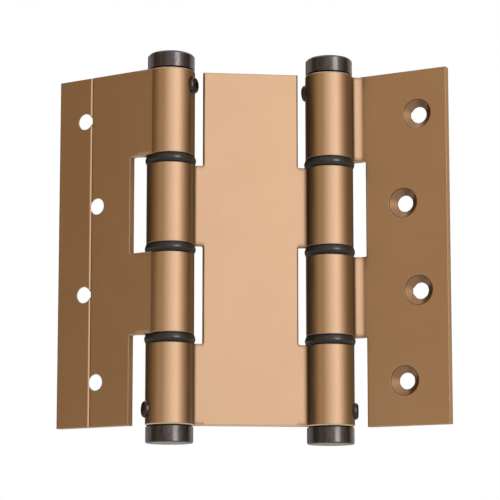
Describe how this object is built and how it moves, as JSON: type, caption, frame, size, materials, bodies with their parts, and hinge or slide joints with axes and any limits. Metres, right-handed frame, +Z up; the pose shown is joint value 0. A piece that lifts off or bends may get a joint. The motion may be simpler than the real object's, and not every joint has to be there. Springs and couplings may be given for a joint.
{
  "type": "double action cafe hinge",
  "caption": "Double action spring hinge for a swing door: a centre leaf with a sprung barrel at each side, and a notched, countersunk outer leaf that swings on each barrel.",
  "frame": {"origin": "midway between the two barrel axes, at half the leaves' height, which is within the check's tolerance of the solids' centroid", "axes": "+Z up along both barrel axes, +X from the jamb's barrel to the door's, +Y to the side that the jamb leaf is turned to"},
  "size_m": [0.1291, 0.0385, 0.1316],
  "materials": {
    "bronze": "satin bronze anodised",
    "nylon": "moulded black",
    "plug": "satin dark brown",
    "screw": "blackened steel",
    "rod": "ground",
    "spring": "oiled spring wire"
  },
  "bodies": {
    "centre": {"centre_leaf": "bronze", "jamb_top_ring": "nylon", "jamb_middle_ring": "nylon", "jamb_bottom_ring": "nylon", "jamb_anchor_plug": "plug", "jamb_bottom_lock_screw": "screw", "jamb_axle_rod": "rod", "jamb_spring": "spring", "door_top_ring": "nylon", "door_middle_ring": "nylon", "door_bottom_ring": "nylon", "door_anchor_plug": "plug", "door_bottom_lock_screw": "screw", "door_axle_rod": "rod", "door_spring": "spring"},
    "jamb": {"jamb_leaf": "bronze", "jamb_tension_plug": "plug", "jamb_top_lock_screw": "screw"},
    "door": {"door_leaf": "bronze", "door_tension_plug": "plug", "door_top_lock_screw": "screw"}
  },
  "joints": [
    {"name": "jamb_leaf_swing", "type": "hinge", "parent": "centre", "child": "jamb", "pos_m": [-0.027, 0, 0], "axis": [0, 0, 1], "range_deg": [-142.9, 37.1], "stiffness_Nm_per_rad": 0.15, "deforming": ["jamb_spring"]},
    {"name": "door_leaf_swing", "type": "hinge", "parent": "centre", "child": "door", "pos_m": [0.027, 0, 0], "axis": [0, 0, 1], "range_deg": [-146.6, 33.4], "stiffness_Nm_per_rad": 0.15, "deforming": ["door_spring"]}
  ]
}
